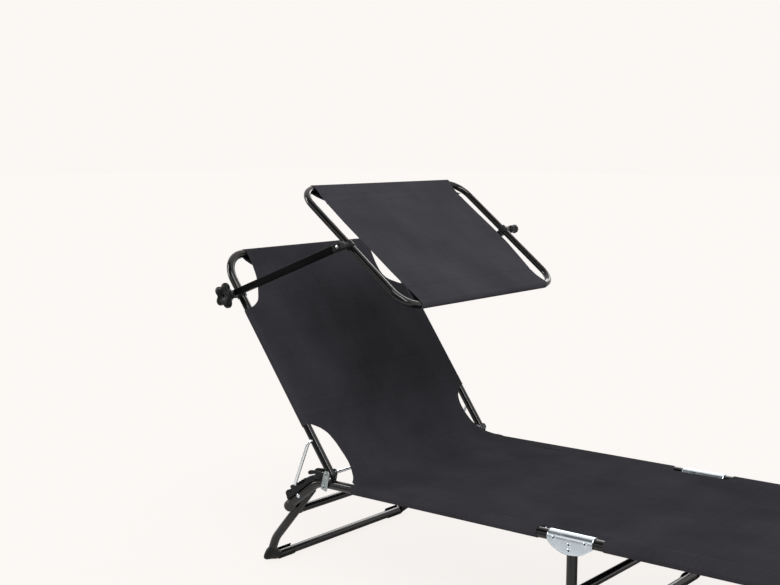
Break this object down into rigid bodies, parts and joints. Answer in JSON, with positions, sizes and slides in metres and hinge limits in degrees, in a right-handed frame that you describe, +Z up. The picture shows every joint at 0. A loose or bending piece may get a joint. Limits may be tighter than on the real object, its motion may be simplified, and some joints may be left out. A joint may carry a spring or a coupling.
{
  "type": "folding sun lounger with canopy",
  "caption": "Low folding sun lounger of black steel tube and dark grey sling cloth, with a notched reclining backrest, folding legs and a tilting sun canopy on two side arms.",
  "frame": {"origin": "on the floor, under the middle of the lounger as it stands", "axes": "+X from the head end towards the foot end, +Z up, so -Y is the side nearer the camera"},
  "size_m": [1.6512, 0.7018, 0.9097],
  "materials": {
    "black_steel": "semi-gloss black powder coat",
    "zinc_steel": "bright zinc plate",
    "black_plastic": "matt moulded",
    "sling_cloth": "woven polyester",
    "canopy_cloth": "woven polyester"
  },
  "bodies": {
    "seat_frame": {"seat_rail_near": "black_steel", "seat_rail_far": "black_steel", "hinge_plate_outer_near": "zinc_steel", "hinge_plate_outer_far": "zinc_steel", "hinge_plate_inner_near": "zinc_steel", "hinge_plate_inner_far": "zinc_steel", "backrest_pivot_rivet_near": "zinc_steel", "backrest_pivot_rivet_far": "zinc_steel", "plate_rivet_near": "zinc_steel", "plate_rivet_far": "zinc_steel", "notch_rack_near": "black_plastic", "notch_rack_far": "black_plastic", "head_leg_rivet_near": "zinc_steel", "head_leg_rivet_far": "zinc_steel", "rail_plug_near": "black_plastic", "rail_plug_far": "black_plastic", "seat_sling": "sling_cloth"},
    "backrest": {"backrest_frame": "black_steel", "back_sling": "sling_cloth", "arm_bracket_near": "black_plastic", "arm_bracket_far": "black_plastic", "arm_bolt_near": "zinc_steel", "arm_bolt_far": "zinc_steel"},
    "strut": {"backrest_strut": "zinc_steel"},
    "canopy_arms": {"canopy_arm_near": "black_steel", "canopy_arm_far": "black_steel"},
    "arm_knob_near_body": {"arm_knob_near": "black_plastic"},
    "arm_knob_far_body": {"arm_knob_far": "black_plastic"},
    "canopy": {"canopy_frame": "black_steel", "canopy_cloth": "canopy_cloth", "canopy_clamp_near": "black_plastic", "canopy_clamp_far": "black_plastic", "canopy_bolt_near": "zinc_steel", "canopy_bolt_far": "zinc_steel"},
    "canopy_knob_body": {"canopy_knob_far": "black_plastic"},
    "head_leg": {"head_leg_frame": "black_steel", "head_foot_cap_near": "black_plastic", "head_foot_cap_far": "black_plastic"},
    "mid_leg": {"mid_leg_frame": "black_steel", "fold_saddle_near": "zinc_steel", "fold_saddle_far": "zinc_steel", "seat_pivot_rivet_near": "zinc_steel", "seat_pivot_rivet_far": "zinc_steel", "foot_pivot_rivet_near": "zinc_steel", "foot_pivot_rivet_far": "zinc_steel", "leg_rivet_upper_near": "zinc_steel", "leg_rivet_upper_far": "zinc_steel", "leg_rivet_lower_near": "zinc_steel", "leg_rivet_lower_far": "zinc_steel", "mid_foot_cap_near": "black_plastic", "mid_foot_cap_far": "black_plastic"},
    "foot_frame": {"foot_frame_tube": "black_steel", "foot_sling": "sling_cloth", "foot_leg_rivet_near": "zinc_steel", "foot_leg_rivet_far": "zinc_steel"},
    "foot_leg": {"foot_leg_frame": "black_steel", "foot_foot_cap_near": "black_plastic", "foot_foot_cap_far": "black_plastic"}
  },
  "joints": [
    {"name": "backrest_recline", "type": "hinge", "parent": "seat_frame", "child": "backrest", "pos_m": [-0.48237, 0, 0.272], "axis": [0, 1, 0], "range_deg": [-55, 11]},
    {"name": "strut_swing", "type": "hinge", "parent": "backrest", "child": "strut", "pos_m": [-0.5317, 0, 0.34245], "axis": [0, 1, 0], "range_deg": [-13, 64]},
    {"name": "canopy_arms_swing", "type": "hinge", "parent": "backrest", "child": "canopy_arms", "pos_m": [-0.75367, 0, 0.65946], "axis": [0, 1, 0], "range_deg": [-104, 35]},
    {"name": "arm_knob_near_turn", "type": "hinge", "parent": "backrest", "child": "arm_knob_near_body", "pos_m": [-0.75367, -0.342, 0.65946], "axis": [0, 1, 0], "continuous": true},
    {"name": "arm_knob_far_turn", "type": "hinge", "parent": "backrest", "child": "arm_knob_far_body", "pos_m": [-0.75367, 0.342, 0.65946], "axis": [0, 1, 0], "continuous": true},
    {"name": "canopy_tilt", "type": "hinge", "parent": "canopy_arms", "child": "canopy", "pos_m": [-0.41295, 0, 0.78753], "axis": [0, 1, 0], "range_deg": [-58, 122]},
    {"name": "canopy_knob_turn", "type": "hinge", "parent": "canopy", "child": "canopy_knob_body", "pos_m": [-0.41295, 0.33, 0.78753], "axis": [0, 1, 0], "continuous": true},
    {"name": "head_leg_fold", "type": "hinge", "parent": "seat_frame", "child": "head_leg", "pos_m": [-0.57661, 0, 0.20443], "axis": [0, 1, 0], "range_deg": [-129, 0]},
    {"name": "mid_fold", "type": "hinge", "parent": "seat_frame", "child": "mid_leg", "pos_m": [0.12563, 0, 0.246], "axis": [0, 1, 0], "range_deg": [0, 90]},
    {"name": "foot_frame_fold", "type": "hinge", "parent": "mid_leg", "child": "foot_frame", "pos_m": [0.19763, 0, 0.246], "axis": [0, 1, 0], "range_deg": [0, 90]},
    {"name": "foot_leg_fold", "type": "hinge", "parent": "foot_frame", "child": "foot_leg", "pos_m": [0.71663, 0, 0.246], "axis": [0, 1, 0], "range_deg": [0, 109.1]}
  ],
  "couplings": [
    {"joint": "strut_swing", "follows": "backrest_recline", "ratio": -1.15},
    {"joint": "foot_frame_fold", "follows": "mid_fold", "ratio": 1},
    {"joint": "foot_leg_fold", "follows": "mid_fold", "ratio": 1.2111}
  ]
}
